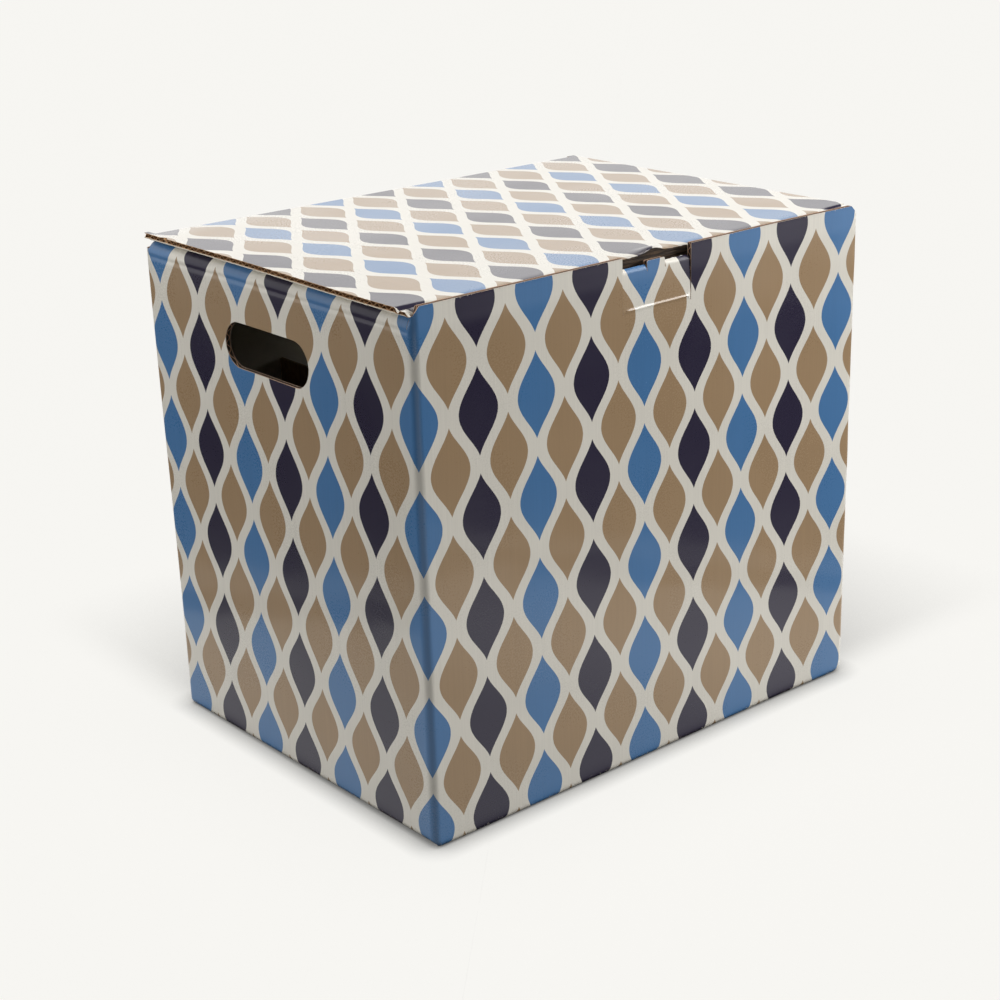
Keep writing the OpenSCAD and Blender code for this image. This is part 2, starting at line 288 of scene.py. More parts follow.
def fold_lid(x, v, d):
    """Folds a point of the lid: v is the distance along Y on the panel, and runs on down the tuck flap."""
    x, v, d = (np.asarray(a, float) + np.zeros_like(x) for a in (x, v, d))
    over = FOLD_Y - v
    side = np.abs(x)
    ear = (side > TUCK_HALF + 0.2) & (over > 0)
    # the board is crushed at the score beside the front corners, and at the tips of its ears
    fade, end = smooth(side, 148, 175), smooth(side, 171.0, 175.5)
    crush = np.max([0.9 * hump(over, -0.8, 1.7) * fade,
                    0.38 * smooth(over, -0.8, 2.0) * smooth(side, 166, 174),
                    0.94 * smooth(over, 3.0, EAR) * end,
                    0.3 * hump(over, 3.0, 3.5) * (1 - fade)], axis=0)
    depth = BOARD - (BOARD - d) * (1 - crush)
    turn = np.clip(over / TUCK_R, 0, TURN)
    flap = np.maximum(over - TUCK_R * TURN, 0)
    r = TUCK_R - depth
    y = np.where(over > 0, FOLD_Y - r * np.sin(turn) + flap * math.sin(TUCK_LEAN), v)
    z = np.where(over > 0, FOLD_Z + r * np.cos(turn) - flap * math.cos(TUCK_LEAN), LID_Z - depth)
    # the fold opens out into an ear that lies over the wall's cut corner
    share = np.where(ear, end, 0)
    y = y + share * (v - y)
    z = z + share * (LID_Z - depth - 0.35 * smooth(over, 4, EAR) - z)
    wall_top = TOP_Z - np.clip(side - (HALF_L - TOP_CUT), 0, TOP_CUT)
    y = np.where(ear & (z < wall_top + 0.1), np.maximum(y, -HALF_W + BOARD + 0.1), y)
    # the left edge lies a little higher towards the back, and the fold at the back stays where it is
    free = 1 - smooth(v, HINGE_Y - 16, HINGE_Y - 2) * (1 - smooth(side, IN_X, IN_X + 4))
    z = z + EDGE_RISE * smooth(-x, 30, 176) * smooth(v, -100, 40) * free
    # the lip that the lock tab's tongue pushes up, and the slight droop to its left
    lift = hump(x, LIP_X, 7.0) * smooth(over, -9, 1.0) * (over < 2.5)
    z = z + lift * (LIP_RISE - LIP_THIN * d)
    z = z - LIP_DROOP * hump(x, TAB_X - 27, 14) * smooth(over, -16, 0) * (over < 2.5)
    return np.stack([x, y, z], 1)


def fold_hinge(p, q, d):
    """Folds the strip of board between the back wall and the lid."""
    p, q, d = (np.asarray(a, float) + np.zeros_like(p) for a in (p, q, d))
    turn = q / HINGE_R
    r = HINGE_R - d
    return np.stack([-p, HINGE_Y + r * np.cos(turn), HINGE_Z + r * np.sin(turn)], 1)


# ---- cutting a blank into triangles ----
SHARP_FOLD = math.radians(40)
MIN_EDGE = 0.12


def steps(start, end, size):
    """Even steps from start to end, none longer than size."""
    return list(np.linspace(start, end, max(2, int(math.ceil(abs(end - start) / size)) + 1)))


def split_loop(loop, lines_s, lines_v):
    """A loop with extra points where it crosses the lines of the grid."""
    made = []
    for (s0, v0), (s1, v1) in zip(loop, loop[1:] + loop[:1]):
        shares = [0.0]
        shares += [(c - s0) / (s1 - s0) for c in lines_s if min(s0, s1) < c < max(s0, s1)]
        shares += [(c - v0) / (v1 - v0) for c in lines_v if min(v0, v1) < c < max(v0, v1)]
        length = math.hypot(s1 - s0, v1 - v0)
        kept = []
        for t in sorted(shares):
            if not kept or (t - kept[-1]) * length > MIN_EDGE and (1 - t) * length > MIN_EDGE:
                kept.append(t)
        made += [(s0 + (s1 - s0) * t, v0 + (v1 - v0) * t) for t in kept]
    return made


def inside(points, loops):
    """Which points lie inside the first loop and outside the others."""
    odd = np.zeros(len(points), bool)
    px, py = points[:, 0], points[:, 1]
    for loop in loops:
        a = np.array(loop)
        b = np.roll(a, -1, 0)
        for (x0, y0), (x1, y1) in zip(a, b):
            if y0 != y1:
                cross = ((y0 > py) != (y1 > py)) & (px < (x1 - x0) * (py - y0) / (y1 - y0) + x0)
                odd ^= cross
    return odd


def edge_distance(points, loops):
    """Distance of each point from the nearest cut."""
    best = np.full(len(points), 1e9)
    for loop in loops:
        a = np.array(loop)
        b = np.roll(a, -1, 0)
        for p, q in zip(a, b):
            run = q - p
            t = np.clip(((points - p) @ run) / max(run @ run, 1e-12), 0, 1)
            best = np.minimum(best, np.hypot(*(points - p - t[:, None] * run).T))
    return best


def cut_blank(loops, grids):
    """Cuts a flat sheet into triangles. A later grid replaces the ones before it in its own rectangle."""
    lines_s = sorted(set(grids[0][0]))
    lines_v = sorted(set(grids[0][1]))
    loops = [split_loop(list(loop), lines_s, lines_v) for loop in loops]
    points = np.zeros((0, 2))
    for grid_s, grid_v in grids:
        gs, gv = np.array(sorted(set(grid_s))), np.array(sorted(set(grid_v)))
        if len(points):
            clear = ((points[:, 0] < gs[0]) | (points[:, 0] > gs[-1])
                     | (points[:, 1] < gv[0]) | (points[:, 1] > gv[-1]))
            points = points[clear]
        ds = np.minimum(np.gradient(gs), 6)
        dv = np.minimum(np.gradient(gv), 6)
        mesh_s, mesh_v = np.meshgrid(gs, gv)
        room = 0.3 * np.minimum(*np.meshgrid(ds, dv)).ravel()
        fresh = np.stack([mesh_s.ravel(), mesh_v.ravel()], 1)
        keep = inside(fresh, loops)
        fresh, room = fresh[keep], room[keep]
        fresh = fresh[edge_distance(fresh, loops) > np.maximum(room, MIN_EDGE)]
        points = np.concatenate([points, fresh])
    rim, edges = [], []
    for loop in loops:
        n = len(rim)
        rim += loop
        edges += [(n + k, n + (k + 1) % len(loop)) for k in range(len(loop))]
    flat = [Vector(p) for p in np.concatenate([np.array(rim), points])]
    verts, _, faces, *_ = delaunay_2d_cdt(flat, edges, [], 0, 1e-5)
    verts = np.array([tuple(p) for p in verts])
    faces = np.array([f for f in faces if len(f) == 3])
    keep = inside(verts[faces].mean(1), loops)
    faces = faces[keep]
    a, b, c = (verts[faces[:, k]] for k in range(3))
    area = (b[:, 0] - a[:, 0]) * (c[:, 1] - a[:, 1]) - (b[:, 1] - a[:, 1]) * (c[:, 0] - a[:, 0])
    faces = faces[np.abs(area) > 1e-7]
    area = area[np.abs(area) > 1e-7]
    faces[area < 0] = faces[area < 0][:, ::-1]
    used = np.unique(faces)
    order = np.full(len(verts), -1)
    order[used] = np.arange(len(used))
    return verts[used], order[faces]


def rim_edges(faces):
    """Edges that belong to one triangle only, in that triangle's direction."""
    pairs = np.concatenate([faces[:, [0, 1]], faces[:, [1, 2]], faces[:, [2, 0]]])
    keys = np.sort(pairs, 1)
    _, first, count = np.unique(keys, axis=0, return_index=True, return_counts=True)
    return pairs[first[count == 1]]


def sheet(cut, fold, outer, inner, finishes, uv):
    """A closed sheet of board or paper: (points, faces, finish of each face, two UVs of each corner)."""
    flat, faces = cut
    n = len(flat)
    s, v = flat.T
    top = outer(s, v) if callable(outer) else outer + 0 * s
    low = inner(s, v) if callable(inner) else inner + 0 * s
    points = np.concatenate([fold(s, v, top), fold(s, v, low)]) * MM
    rim = rim_edges(faces)
    blank = uv(s, v) * MM
    made, finish, uv_blank, uv_edge = [], [], [], []
    for f in faces:
        made.append(tuple(f))
        finish.append(finishes[0])
        uv_blank += [tuple(blank[k]) for k in f]
        uv_edge += [(0.0, 0.0)] * 3
    for f in faces[:, ::-1]:
        made.append(tuple(f + n))
        finish.append(finishes[1])
        uv_blank += [tuple(blank[k]) for k in f]
        uv_edge += [(0.0, BOARD * MM)] * 3
    for a, b in rim:
        made.append((b, a, a + n, b + n))
        finish.append(finishes[2])
        uv_blank += [tuple(blank[k]) for k in (b, a, a, b)]
        run = float(np.hypot(*(flat[b] - flat[a]))) * MM
        uv_edge += [(run, top[b] * MM), (0, top[a] * MM), (0, low[a] * MM), (run, low[b] * MM)]
    return points, made, finish, uv_blank, uv_edge


def board_object(name, sheets, materials):
    """One object from several sheets, with the UV maps Blank and Edge."""
    points, faces, finish, uv_blank, uv_edge = [], [], [], [], []
    for p, f, m, b, e in sheets:
        shift = len(points)
        points += p.tolist()
        faces += [tuple(int(k) + shift for k in row) for row in f]
        finish += m
        uv_blank += b
        uv_edge += e
    mesh = bpy.data.meshes.new(name)
    mesh.from_pydata(points, [], faces)
    for material in materials:
        mesh.materials.append(material)
    mesh.polygons.foreach_set("material_index", finish)
    mesh.polygons.foreach_set("use_smooth", [True] * len(faces))
    for key, values in (("Blank", uv_blank), ("Edge", uv_edge)):
        layer = mesh.uv_layers.new(name=key)
        layer.data.foreach_set("uv", np.array(values, np.float32).ravel())
    mesh.set_sharp_from_angle(angle=SHARP_FOLD)
    mesh.validate()
    mesh.update()
    piece = bpy.data.objects.new(name, mesh)
    bpy.context.scene.collection.objects.link(piece)
    return piece


# ---- shader tools ----
class Shader:
    """Short ways to add nodes to a material or a node group."""

    def __init__(self, tree):
        self.tree = tree

    def node(self, kind, inputs=None, **settings):
        made = self.tree.nodes.new(kind)
        for key, value in settings.items():
            setattr(made, key, value)
        for key, value in (inputs or {}).items():
            self.give(made.inputs[key], value)
        return made

    def give(self, socket, value):
        if isinstance(value, bpy.types.NodeSocket):
            self.tree.links.new(value, socket)
        else:
            socket.default_value = value

    def math(self, operation, *values):
        made = self.node("ShaderNodeMath", operation=operation)
        for socket, value in zip(made.inputs, values):
            self.give(socket, value)
        return made.outputs[0]

    def apart(self, a, b):
        return self.math("ABSOLUTE", self.math("SUBTRACT", a, b))

    def band(self, value, low, rise, fall, high, top=1.0):
        return self.math("MULTIPLY", self.ramp(value, low, rise), self.ramp(value, fall, high, top, 0.0))

    def split(self, vector):
        return self.node("ShaderNodeSeparateXYZ", {0: vector}).outputs

    def mix(self, share, a, b, blend="MIX"):
        made = self.node("ShaderNodeMix", data_type="RGBA", blend_type=blend)
        for socket, value in zip((made.inputs[0], made.inputs[6], made.inputs[7]), (share, a, b)):
            self.give(socket, value)
        return made.outputs[2]

    def ramp(self, value, low, high, a=0.0, b=1.0):
        made = self.node("ShaderNodeMapRange", interpolation_type="SMOOTHSTEP")
        for key, v in zip(("Value", "From Min", "From Max", "To Min", "To Max"), (value, low, high, a, b)):
            self.give(made.inputs[key], v)
        return made.outputs[0]

    def noise(self, vector, scale, detail=2.0, rough=0.5):
        made = self.node("ShaderNodeTexNoise", {"Vector": vector, "Scale": scale, "Detail": detail,
                                                "Roughness": rough})
        return made.outputs[0]

    def stretch(self, vector, x, y, z=1.0):
        return self.node("ShaderNodeMapping", {"Vector": vector, "Scale": (x, y, z)}).outputs[0]

    def uv(self, name):
        return self.node("ShaderNodeUVMap", uv_map=name).outputs[0]

    def group(self, group, **inputs):
        made = self.node("ShaderNodeGroup", node_tree=group)
        for key, value in inputs.items():
            self.give(made.inputs[key], value)
        return made

    def bump(self, bsdf, height, strength, distance):
        made = self.node("ShaderNodeBump", {"Height": height, "Strength": strength, "Distance": distance * MM})
        self.give(bsdf.inputs["Normal"], made.outputs[0])


def new_group(name, inputs, outputs):
    """A node group with named sockets; returns it with its shader tool, its inputs and its output node."""
    group = bpy.data.node_groups.new(name, "ShaderNodeTree")
    for kind, key, value in inputs:
        socket = group.interface.new_socket(key, in_out="INPUT", socket_type="NodeSocket" + kind)
        if value is not None:
            socket.default_value = value
    for kind, key in outputs:
        group.interface.new_socket(key, in_out="OUTPUT", socket_type="NodeSocket" + kind)
    shader = Shader(group)
    return group, shader, shader.node("NodeGroupInput").outputs, shader.node("NodeGroupOutput").inputs


def rgb(r, g, b):
    """Linear colour with alpha from sRGB values of 0 to 255."""
    linear = [((c / 255 + 0.055) / 1.055) ** 2.4 if c > 10 else c / 255 / 12.92 for c in (r, g, b)]
    return (*linear, 1.0)


def new_material(name):
    material = bpy.data.materials.new(name)
    material.use_nodes = True
    shader = Shader(material.node_tree)
    bsdf = material.node_tree.nodes["Principled BSDF"]
    return material, shader, bsdf


# Print: leaves in columns, each second column dropped by half a row
def make_leaf_print():
    group, g, i, o = new_group("leaf_print", [("Vector", "Blank", None)],
                               [("Color", "Colour"), ("Float", "Ink")])
    pitch, row = 20.7 * MM, 61.0 * MM
    width, swing, first = 6.35 * MM, 7.3 * MM, 10.0
    paper = rgb(234, 230, 220)
    blue, navy, taupe = rgb(71, 122, 175), rgb(37, 30, 58), rgb(167, 139, 106)
    wobble = g.math("MULTIPLY", g.math("SUBTRACT", g.noise(i["Blank"], 700.0), 0.5), 0.22 * MM)
    at = g.split(i["Blank"])
    leaves = []
    for shift in (0.0, 1.0):
        along = g.math("DIVIDE", g.math("SUBTRACT", at[0], shift * pitch), 2 * pitch)
        column = g.math("ROUND", along)
        beside = g.math("ABSOLUTE", g.math("MULTIPLY", g.math("SUBTRACT", along, column), 2 * pitch))
        up = g.math("SUBTRACT", at[1], first * MM)
        turn = g.math("MULTIPLY_ADD", up, 2 * math.pi / row, shift * math.pi)
        half = g.math("MULTIPLY_ADD", g.math("COSINE", turn), swing, width)
        inset = g.math("ADD", g.math("SUBTRACT", half, beside), wobble)
        leaves.append((g.ramp(inset, -0.08 * MM, 0.08 * MM), column))
    even = g.math("FLOORED_MODULO", leaves[0][1], 2.0)
    colour = g.mix(leaves[0][0], paper, g.mix(even, blue, navy))
    colour = g.mix(leaves[1][0], colour, taupe)
    g.give(o["Colour"], colour)
    g.give(o["Ink"], g.math("MAXIMUM", leaves[0][0], leaves[1][0]))
    return group


# Paper surface: streaks of the press, fibres, and the flutes that show through a liner
def make_paper_surface():
    group, g, i, o = new_group("paper_surface", [("Vector", "Blank", None), ("Float", "Flute", 1.0),
                                                 ("Float", "Streak", 0.17)],
                               [("Float", "Tone"), ("Float", "Height"), ("Float", "Rub")])
    streaks = g.noise(g.stretch(i["Blank"], 900.0, 14.0), 1.0, 3.0, 0.6)
    fibres = g.noise(g.stretch(i["Blank"], 900.0, 900.0), 1.0, 4.0, 0.65)
    clouds = g.noise(i["Blank"], 14.0, 3.0, 0.5)
    waves = g.noise(g.stretch(i["Blank"], 9.0, 26.0), 1.0, 2.0, 0.4)
    at = g.split(i["Blank"])
    flute = g.math("SINE", g.math("MULTIPLY", at[1], 2 * math.pi / (FLUTE_PITCH * MM)))
    tone = g.math("ADD", g.math("MULTIPLY", g.math("SUBTRACT", streaks, 0.5), i["Streak"]),
                  g.math("MULTIPLY", g.math("SUBTRACT", clouds, 0.5), 0.06))
    g.give(o["Tone"], g.math("ADD", tone, 1.0))
    height = g.math("MULTIPLY", g.math("MULTIPLY", flute, i["Flute"]), 0.014)
    height = g.math("MULTIPLY_ADD", fibres, 0.009, height)
    height = g.math("MULTIPLY_ADD", waves, 0.9, height)
    g.give(o["Height"], height)
    g.give(o["Rub"], g.math("MULTIPLY_ADD", clouds, 0.6, g.math("MULTIPLY", fibres, 0.4)))
    return group


# Cut edge of the board: liners, the wave of the fluted paper, and painted shade in the hollows between
def make_flute_edge():
    group, g, i, o = new_group("flute_edge", [("Vector", "Blank", None), ("Vector", "Edge", None)],
                               [("Color", "Colour"), ("Float", "Height")])
    at = g.split(i["Blank"])
    depth = g.split(i["Edge"])[1]
    ragged = g.noise(i["Blank"], 600.0, 3.0, 0.6)
    drift = g.math("MULTIPLY_ADD", g.math("SUBTRACT", g.noise(i["Blank"], 90.0, 1.0), 0.5), 2.2 * MM, at[1])
    depth = g.math("MULTIPLY_ADD", g.math("SUBTRACT", ragged, 0.5), 0.35 * MM, depth)
    wave = g.math("SINE", g.math("MULTIPLY", drift, 2 * math.pi / (FLUTE_PITCH * MM)))
    line = g.math("MULTIPLY_ADD", wave, (BOARD / 2 - 1.5 * LINER) * MM, BOARD / 2 * MM)
    near = g.apart(depth, line)
    paper = g.ramp(near, 0.20 * MM, 0.45 * MM, 1.0, 0.0)
    outer = g.ramp(depth, 0.38 * MM, 0.62 * MM, 1.0, 0.0)
    inner = g.ramp(depth, (BOARD - 0.55) * MM, (BOARD - 0.3) * MM)
    solid = g.math("MAXIMUM", paper, g.math("MAXIMUM", outer, inner))
    kraft = g.mix(ragged, rgb(172, 124, 92), rgb(220, 176, 144))
    # painted shade: where neither liner nor fluted paper is, the hollow is coloured dark brown
    colour = g.mix(solid, rgb(52, 38, 27), kraft)
    white = g.math("MAXIMUM", g.ramp(depth, 0.15 * MM, 0.40 * MM, 0.80, 0.0),
                   g.ramp(depth, (BOARD - 0.26) * MM, (BOARD - 0.06) * MM, 0.0, 0.85))
    g.give(o["Colour"], g.mix(white, colour, rgb(226, 218, 203)))
    g.give(o["Height"], solid)
    return group


# Wear: white flecks and brown scuffs along the base and the cut top edge, varnish rubbed off where hands take
# hold, and ink cracked along the lid's front fold
def make_fold_wear():
    group, g, i, o = new_group("fold_wear", [("Vector", "Blank", None)],
                               [("Float", key) for key in ("Fleck", "Scuff", "Handled", "Crack")])
    at = g.split(i["Blank"])
    front = g.band(at[0], *(s * MM for s in (FRONT_0 - 4, FRONT_0, FRONT_1, FRONT_1 + 4)))
    near = 0.0
    for line, reach in ((2.0, 5.0), (TOP_Z + 0.5, 3.2)):
        beside = g.apart(at[1], line * MM)
        share = g.ramp(beside, 0.0, reach * MM, 1.0, 0.0)
        near = g.math("MAXIMUM", near, g.math("MULTIPLY", share, front) if line > SIDE_TOP else share)
    g.give(o["Handled"], g.band(at[1], *(v * MM for v in (SIDE_TOP - 5, SIDE_TOP + 2, LID_Z - 0.5, LID_Z + 1))))
    fold = g.apart(at[1], LID_FOLD * MM)
    cracks = g.ramp(g.noise(g.stretch(i["Blank"], 260.0, 900.0), 1.0, 3.0, 0.6), 0.38, 0.60)
    g.give(o["Crack"], g.math("MULTIPLY", g.ramp(fold, 1.2 * MM, 3.6 * MM, 1.0, 0.0), cracks))
    spots = g.noise(i["Blank"], 620.0, 3.0, 0.7)
    patches = g.ramp(g.noise(i["Blank"], 60.0, 1.0), 0.46, 0.60)
    flecks = g.ramp(g.math("MULTIPLY_ADD", near, 0.18, spots), 0.75, 0.82)
    g.give(o["Fleck"], g.math("MULTIPLY", flecks, near))
    scratch = g.noise(g.stretch(i["Blank"], 420.0, 1300.0), 1.0, 3.0, 0.7)
    scuff = g.ramp(g.math("MULTIPLY_ADD", near, 0.16, scratch), 0.72, 0.78)
    g.give(o["Scuff"], g.math("MULTIPLY", g.math("MULTIPLY", scuff, patches), near))
    return group


leaf_print = make_leaf_print()
fold_wear = make_fold_wear()
paper_surface = make_paper_surface()
flute_edge = make_flute_edge()


def make_printed_varnish():
    """White-lined board, printed and varnished."""
    material, g, bsdf = new_material("printed_varnish")
    blank = g.uv("Blank")
    ink = g.group(leaf_print, Blank=blank)
    paper = g.group(paper_surface, Blank=blank, Flute=1.0, Streak=0.17)
    wear = g.group(fold_wear, Blank=blank)
    colour = g.mix(1.0, ink.outputs["Colour"], paper.outputs["Tone"], "MULTIPLY")
    for mark, share, bare in (("Fleck", 0.75, rgb(224, 218, 206)), ("Scuff", 0.65, rgb(142, 100, 80)),
                              ("Crack", 0.5, rgb(206, 200, 196))):
        colour = g.mix(g.math("MULTIPLY", wear.outputs[mark], share), colour, bare)
    g.give(bsdf.inputs["Base Color"], colour)
    rough = g.ramp(paper.outputs["Rub"], 0.3, 0.7, 0.24, 0.36)
    g.give(bsdf.inputs["Roughness"], g.math("MULTIPLY_ADD", wear.outputs["Handled"], 0.14, rough))
    bsdf.inputs["IOR"].default_value = 1.5
    g.give(bsdf.inputs["Coat Weight"], g.math("MULTIPLY_ADD", wear.outputs["Handled"], -0.45, 0.6))
    bsdf.inputs["Coat Roughness"].default_value = 0.09
    g.bump(bsdf, paper.outputs["Height"], 0.5, 0.5)
    return material


def make_white_liner():
    """Inside of the board: plain white paper with the flutes showing through."""
    material, g, bsdf = new_material("white_liner")
    blank = g.uv("Blank")
    paper = g.group(paper_surface, Blank=blank, Flute=5.0, Streak=0.03)
    speck = g.ramp(g.noise(blank, 2600.0, 2.0, 0.7), 0.70, 0.78)
    colour = g.mix(1.0, rgb(222, 215, 200), paper.outputs["Tone"], "MULTIPLY")
    g.give(bsdf.inputs["Base Color"], g.mix(g.math("MULTIPLY", speck, 0.5), colour, rgb(150, 124, 96)))
    g.give(bsdf.inputs["Roughness"], g.ramp(paper.outputs["Rub"], 0.3, 0.7, 0.62, 0.8))
    g.bump(bsdf, paper.outputs["Height"], 0.6, 0.5)
    return material


def make_cut_edge():
    """Cut edge of the board."""
    material, g, bsdf = new_material("cut_edge")
    edge = g.group(flute_edge, Blank=g.uv("Blank"), Edge=g.uv("Edge"))
    g.give(bsdf.inputs["Base Color"], edge.outputs["Colour"])
    bsdf.inputs["Roughness"].default_value = 0.9
    g.bump(bsdf, edge.outputs["Height"], 0.8, 0.8)
    return material


def make_kraft(name, dark, light, rough, torn=False):
    """Brown paper or card with fibres; torn paper gets painted shade in the recess of the lid's slot."""
    material, g, bsdf = new_material(name)
    place = g.node("ShaderNodeTexCoord").outputs["Object"]
    fibre = g.noise(g.stretch(place, 500.0, 500.0, 160.0), 1.0, 5.0, 0.7)
    cloud = g.noise(place, 45.0, 3.0, 0.55)
    share = g.math("MULTIPLY_ADD", fibre, 0.75, g.math("MULTIPLY", cloud, 0.3))
    speck = g.ramp(g.noise(place, 1400.0, 2.0, 0.6), 0.66, 0.74)
    colour = g.mix(g.ramp(share, 0.3, 0.75), dark, light)
    if torn:
        # painted shade: the paper in the slot's recess, under the lid's edge, is darkened towards black in
        # faint layered lines
        at = g.split(place)
        beside = g.apart(at[0], TAB_X * MM)
        slot = g.math("MULTIPLY", g.ramp(beside, (TAB_HALF + 3.5) * MM, (TAB_HALF + 4.5) * MM, 1.0, 0.0),
                      g.ramp(at[1], (FOLD_Y - 0.8) * MM, (FOLD_Y + 0.4) * MM, 1.0, 0.0))
        layers = g.noise(g.stretch(place, 60.0, 900.0, 900.0), 1.0, 3.0, 0.6)
        slot = g.math("MULTIPLY", slot, g.ramp(layers, 0.38, 0.62, 1.0, 0.86))
        colour = g.mix(slot, colour, rgb(30, 20, 14))
    g.give(bsdf.inputs["Base Color"], g.mix(g.math("MULTIPLY", speck, 0.35), colour, rgb(84, 60, 40)))
    g.give(bsdf.inputs["Roughness"], g.ramp(fibre, 0.3, 0.7, rough - 0.08, rough + 0.06))
    g.bump(bsdf, fibre, 0.35, 0.15)
    return material


printed_varnish = make_printed_varnish()
white_liner = make_white_liner()
cut_edge = make_cut_edge()
fluted_paper = make_kraft("fluted_paper", rgb(156, 116, 80), rgb(216, 178, 136), 0.88, torn=True)
divider_card = make_kraft("divider_card", rgb(170, 134, 96), rgb(204, 170, 130), 0.85)


# ---- cutting the carton's blank ----
def arc_lines(start):
    """Grid lines round an upright fold."""
    return [start - 0.8] + steps(start, start + ARC, ARC / 8) + [start + ARC + 0.8]


def hand_hole(middle, back_is_left):
    """Outline of a hand hole on the blank, with the small tear at the upper end of its back edge."""
    points = []
    r, half = HOLE_H / 2, (HOLE_W - HOLE_H) / 2
    for end in (1, -1):
        for k in range(15):
            turn = math.radians(-90 + 180 * k / 14) + (0 if end > 0 else math.pi)
            points.append((end * half + r * math.cos(turn), r * math.sin(turn)))
    tear = -1 if back_is_left else 1
    shaped = []
    for x, y in points:
        pull = hump(x * tear, half + 2.0, 1.6) * (y > 0) * 0.5
        shaped.append((middle + x + 0.12 * math.sin(x * 1.7),
                       HOLE_Z + y + pull + 0.10 * math.sin(x * 0.9 + 1)))
    return shaped


def base_flap(along, wide, narrow, slant, end):
    """Outline of a base flap on one wall: its root, its slanted sides and its free end."""
    half = [(wide, base_v(BASE_R)), (narrow, base_v(slant)), (narrow, base_v(end))]
    return [(along(x), v) for x, v in half] + [(along(-x), v) for x, v in half[::-1]]


def dust_flap(along):
    """Outline of a side wall's rolled top and its dust flap, from the back to the front."""
    back, front, rolled = HALF_W - BOARD - 1.5, -HALF_W + 10.0, dust_v(ROLL_R)
    tucked, end = dust_v(DUST_END - DUST_TUCK), dust_v(DUST_END)

    def root(y, inward):
        return [(y, SIDE_TOP), (y + inward, SIDE_TOP), (y + inward, rolled - 3)]

    points = root(IN_Y, -0.3) + [(back, rolled), (back, tucked), (back - DUST_TUCK, end)]
    points += [(front + DUST_TUCK, end), (front, tucked), (front, rolled + 1.0)] + root(-IN_Y, 0.3)[::-1]
    return [(along(y), v) for y, v in points]


def half_tab(gap, point):
    """Right half of the lock tab: its slit, its shoulder and its tongue."""
    slit, top, tongue = CREASE - 2.0, CREASE + SHOULDER_END, CREASE + TONGUE_TOP
    return [(TAB_HALF + gap, TOP_Z), (TAB_HALF + gap, slit), (TAB_HALF + gap / 2, slit - point),
            (TAB_HALF, slit), (TAB_HALF, top - 1.5), (TAB_HALF - 1.5, top), (TONGUE_HALF + 0.7, top),
            (TONGUE_HALF + 0.5, TONGUE_ROOT), (TONGUE_HALF, TONGUE_ROOT), (TONGUE_HALF, tongue - 0.6),
            (TONGUE_HALF - 0.6, tongue)]


def carton_outline():
    """Outline of the carton's blank: bottom from left to right, then the top from right to left."""
    nick = 0.4
    low = base_v(BASE_R) + 0.25
    side_narrow, side_slant, side_end = IN_Y - 30, 34, 100
    long_narrow, long_slant, long_end = IN_X - 31.5, 35.5, HALF_W - nick
    points = [(STRIP_1, SEAM_INSET + 8), (STRIP_0 - SEAM_DIP, SEAM_INSET), (STRIP_0 - SEAM_DIP, low),
              (LEFT_1 - nick, low)]
    points += base_flap(on_left, IN_Y, side_narrow, side_slant, side_end)
    points += [(LEFT_0 + nick, low), (FRONT_0 - nick, low)]
    points += base_flap(on_front, -IN_X, -long_narrow, long_slant, long_end)
    points += [(FRONT_1 + nick, low), (RIGHT_0 - nick, low)]
    points += base_flap(on_right, -IN_Y, -side_narrow, side_slant, side_end)
    points += [(RIGHT_1 + nick, low), (BACK_0 - nick, low)]
    points += base_flap(on_back, IN_X, long_narrow, long_slant, long_end)
    points += [(BACK_1, nick), (BACK_1, HINGE_Z - 1.5), (on_back(-IN_X), HINGE_Z), (BACK_0, HINGE_Z),
               (RIGHT_1, CORNER_TOP)]
    points += dust_flap(on_right)
    points += [(RIGHT_0, CORNER_TOP - 1.5), (FRONT_1 + 0.55 * ARC, CORNER_TOP - 1.5), (FRONT_1 - 2.8, TOP_Z)]
    tab = half_tab(0.45, 0.6) + [(-x, v) for x, v in half_tab(0.42, 0.3)[::-1]]
    points += [(on_front(TAB_X + x), v) for x, v in tab]
    points += [(FRONT_0 + 0.5, TOP_Z), (0.0, CORNER_TOP), (LEFT_0, CORNER_TOP)]
    points += dust_flap(on_left)[::-1]
    points += [(LEFT_1, SIDE_TOP + 3.5), (STRIP_0 - SEAM_DIP, HINGE_Z - 4.0),
               (STRIP_0 - SEAM_DIP, SIDE_TOP - SEAM_INSET), (STRIP_1, SIDE_TOP - SEAM_INSET - 8)]
    cleaned = []
    for p in points:
        if not cleaned or math.hypot(p[0] - cleaned[-1][0], p[1] - cleaned[-1][1]) > 0.02:
            cleaned.append(p)
    return cleaned


def carton_grids():
    """Grid lines of the carton's blank, closer at the folds, and a finer grid at the lock tab."""
    lines_s = steps(STRIP_1, STRIP_0 - 0.8, 10) + arc_lines(STRIP_0) + steps(LEFT_1 + 0.8, LEFT_0 - 0.8, 9)
    for start, flat in ((LEFT_0, FLAT_L), (FRONT_1, FLAT_W), (RIGHT_1, BACK_1 - BACK_0)):
        lines_s += arc_lines(start) + steps(start + ARC + 0.8, start + ARC + flat - 0.8, 9)
    fold_low = base_v(BASE_R)
    lines_v = steps(base_v(HALF_W), fold_low - 1, 11) + steps(fold_low, BASE_R, 0.8) + [BASE_R + 1]
    lines_v += steps(BASE_R + 1, SIDE_TOP - 5, 9) + steps(SIDE_TOP - 4, dust_v(ROLL_R), 0.9)
    lines_v += [dust_v(ROLL_R) + 1] + steps(dust_v(ROLL_R) + 1, dust_v(DUST_END), 11)
    tab_s = steps(on_front(TAB_X - 30), on_front(TAB_X + 30), 2.5)
    tab_v = steps(CREASE - 8, CREASE - 3, 1.5) + steps(CREASE - 3, CREASE + 3, 0.4)
    tab_v += steps(CREASE + 3, CREASE + SHOULDER_H - 1, 3) + steps(CREASE + SHOULDER_H - 1, TOP_Z, 0.55)
    return [(lines_s, lines_v), (tab_s, tab_v)]


def carton_uv(s, v):
    """The print lies on the blank as it is."""
    return np.stack([s, v], 1)


